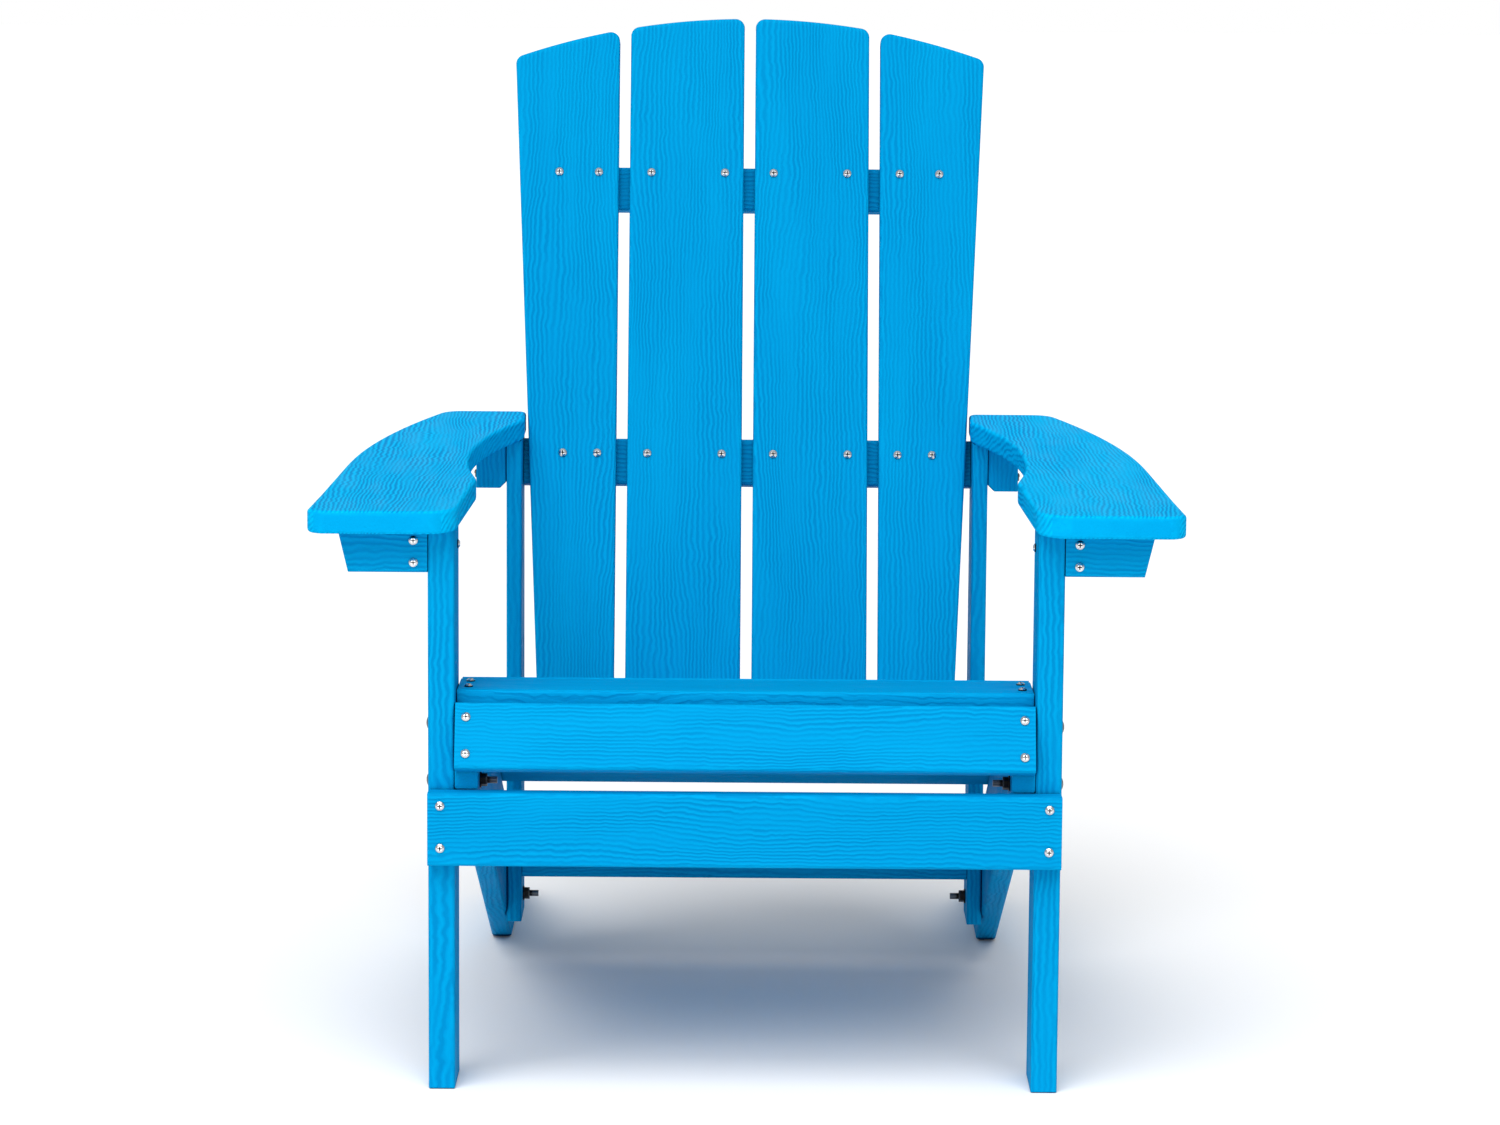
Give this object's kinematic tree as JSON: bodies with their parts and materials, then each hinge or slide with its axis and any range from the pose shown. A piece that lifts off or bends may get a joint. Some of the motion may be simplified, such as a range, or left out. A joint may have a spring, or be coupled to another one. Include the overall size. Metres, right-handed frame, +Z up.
{
  "type": "adirondack chair",
  "caption": "Adirondack garden chair in blue plastic wood, with a sloping slatted seat, a fanned arched slat back and wide curved arms.",
  "frame": {"origin": "centre of the footprint's bounding box on the floor", "axes": "+Z up, +X to the viewer's right when facing the chair, -Y the way the sitter faces"},
  "size_m": [0.748, 0.8207, 0.9058],
  "materials": {
    "plastic_wood": "satin, embossed wood grain",
    "arm_plastic_wood": "satin, embossed wood grain",
    "screw_steel": "polished stainless pan heads",
    "bolt_steel": "dull dark steel"
  },
  "bodies": {
    "root": {"front_leg_left": "plastic_wood", "front_leg_right": "plastic_wood", "seat_rail_left": "plastic_wood", "seat_rail_right": "plastic_wood", "rear_post_left": "plastic_wood", "rear_post_right": "plastic_wood", "arm_left": "arm_plastic_wood", "arm_right": "arm_plastic_wood", "front_arm_bracket_left": "plastic_wood", "front_arm_bracket_right": "plastic_wood", "front_arm_cleat_left": "plastic_wood", "front_arm_cleat_right": "plastic_wood", "rear_arm_bracket_left": "plastic_wood", "rear_arm_bracket_right": "plastic_wood", "front_apron": "plastic_wood", "seat_slat_front": "plastic_wood", "seat_slat_2": "plastic_wood", "seat_slat_3": "plastic_wood", "seat_slat_4": "plastic_wood", "seat_slat_5": "plastic_wood", "seat_slat_6": "plastic_wood", "seat_slat_7": "plastic_wood", "back_slat_1": "plastic_wood", "back_slat_2": "plastic_wood", "back_slat_3": "plastic_wood", "back_slat_4": "plastic_wood", "upper_back_brace": "plastic_wood", "arm_level_brace": "plastic_wood", "lower_back_brace": "plastic_wood", "rear_stretcher": "plastic_wood", "upper_back_screws": "screw_steel", "arm_level_back_screws": "screw_steel", "lower_back_screws": "screw_steel", "seat_front_screws": "screw_steel", "seat_slat_screws": "screw_steel", "apron_screws": "screw_steel", "bracket_face_screws": "screw_steel", "leg_cleat_screws": "screw_steel", "rear_bracket_screws": "screw_steel", "arm_fixing_screws": "screw_steel", "post_brace_screws": "screw_steel", "lower_brace_screws": "screw_steel", "stretcher_screws": "screw_steel", "carriage_bolts": "bolt_steel", "bolt_washers": "bolt_steel", "bolt_nuts": "bolt_steel"}
  },
  "joints": []
}
